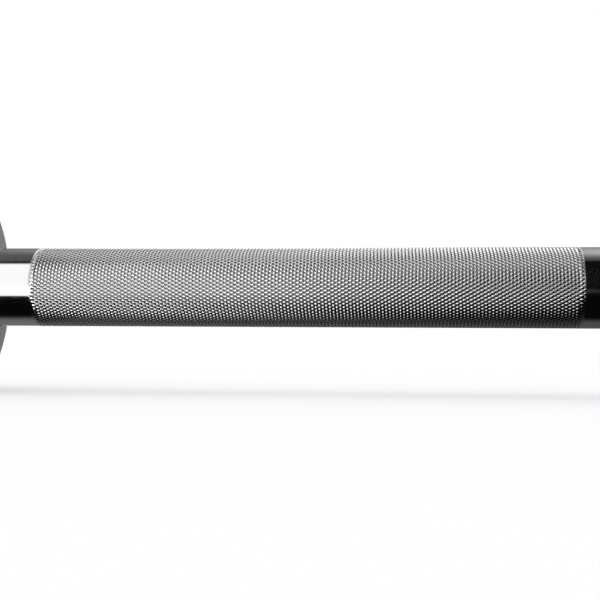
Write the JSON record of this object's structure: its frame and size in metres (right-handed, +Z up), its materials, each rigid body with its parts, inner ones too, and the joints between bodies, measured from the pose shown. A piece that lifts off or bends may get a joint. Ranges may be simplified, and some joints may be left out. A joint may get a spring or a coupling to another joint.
{
  "type": "short olympic barbell",
  "caption": "Short weightlifting bar: a knurled chrome shaft with a collar and a freely turning plate sleeve on each end.",
  "frame": {"origin": "on the shaft's axis, halfway along the bar", "axes": "+X along the bar towards the right sleeve, +Z up when the bar lies on its collars"},
  "size_m": [1.2, 0.075, 0.075],
  "materials": {
    "hard_chrome": "polished hard chrome",
    "collar_chrome": "satin turned chrome",
    "bronze": "sintered bronze, oiled",
    "ground_steel": "ground",
    "cap_steel": "turned, clear zinc",
    "spring_steel": "black oxide",
    "rubber": "matt black nitrile"
  },
  "bodies": {
    "shaft": {"shaft": "hard_chrome", "left_inner_thrust_washer": "ground_steel", "left_outer_thrust_washer": "ground_steel", "left_snap_ring": "spring_steel", "right_inner_thrust_washer": "ground_steel", "right_outer_thrust_washer": "ground_steel", "right_snap_ring": "spring_steel"},
    "left_sleeve": {"left_collar": "collar_chrome", "left_dust_seal": "rubber", "left_sleeve_tube": "hard_chrome", "left_inner_bushing": "bronze", "left_outer_bushing": "bronze", "left_end_cap": "cap_steel", "left_retaining_ring": "spring_steel"},
    "right_sleeve": {"right_collar": "collar_chrome", "right_dust_seal": "rubber", "right_sleeve_tube": "hard_chrome", "right_inner_bushing": "bronze", "right_outer_bushing": "bronze", "right_end_cap": "cap_steel", "right_retaining_ring": "spring_steel"}
  },
  "joints": [
    {"name": "left_sleeve_spin", "type": "hinge", "parent": "shaft", "child": "left_sleeve", "pos_m": [-0.41, 0, 0], "axis": [1, 0, 0], "continuous": true},
    {"name": "right_sleeve_spin", "type": "hinge", "parent": "shaft", "child": "right_sleeve", "pos_m": [0.41, 0, 0], "axis": [1, 0, 0], "continuous": true}
  ]
}
